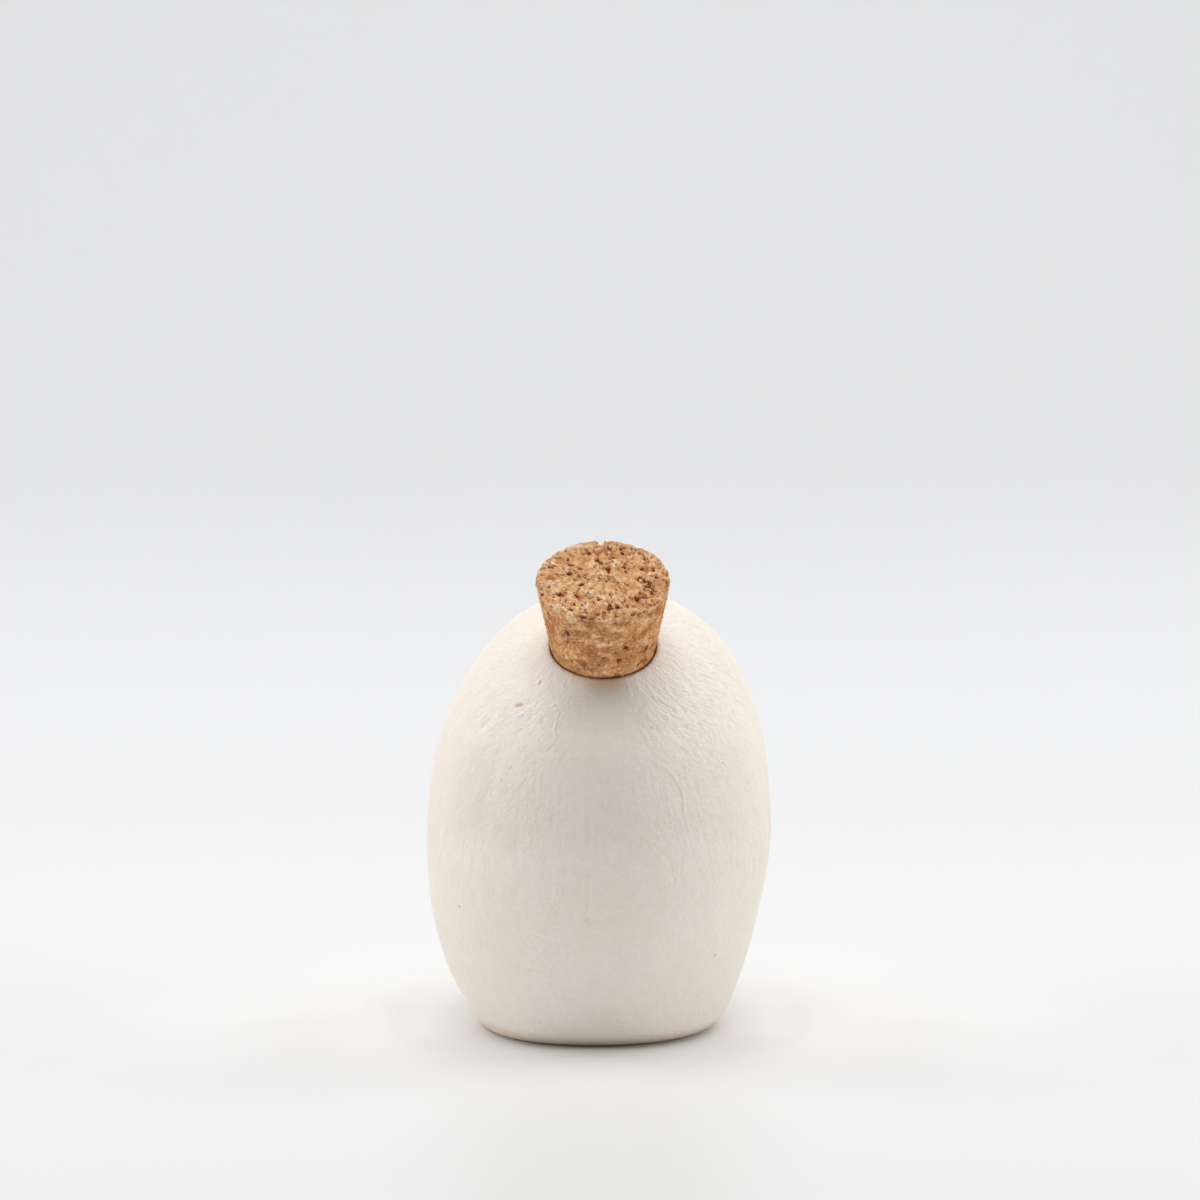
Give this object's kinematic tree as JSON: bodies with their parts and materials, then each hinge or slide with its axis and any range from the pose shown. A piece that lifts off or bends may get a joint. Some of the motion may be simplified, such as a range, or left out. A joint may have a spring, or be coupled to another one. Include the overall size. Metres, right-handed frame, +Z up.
{
  "type": "skull bottle",
  "caption": "Small hollow bisque ceramic bottle in the shape of a skull, with a flat base and a slanted neck on the crown closed by a tapered pull-out cork.",
  "frame": {"origin": "under the middle of the bounding box, on the surface that the bottle stands on", "axes": "+Z up, +Y the way the face looks, +X the skull's right; the neck slants back towards -Y"},
  "size_m": [0.0495, 0.0583, 0.0709],
  "materials": {
    "bisque": "matte",
    "cork": "matte"
  },
  "bodies": {
    "bottle": {"skull_body": "bisque"},
    "stopper": {"cork_stopper": "cork"}
  },
  "joints": [
    {"name": "stopper_slide", "type": "slide", "parent": "bottle", "child": "stopper", "axis": [0, -0.515, 0.8572], "range_m": [0, 0.03]}
  ]
}
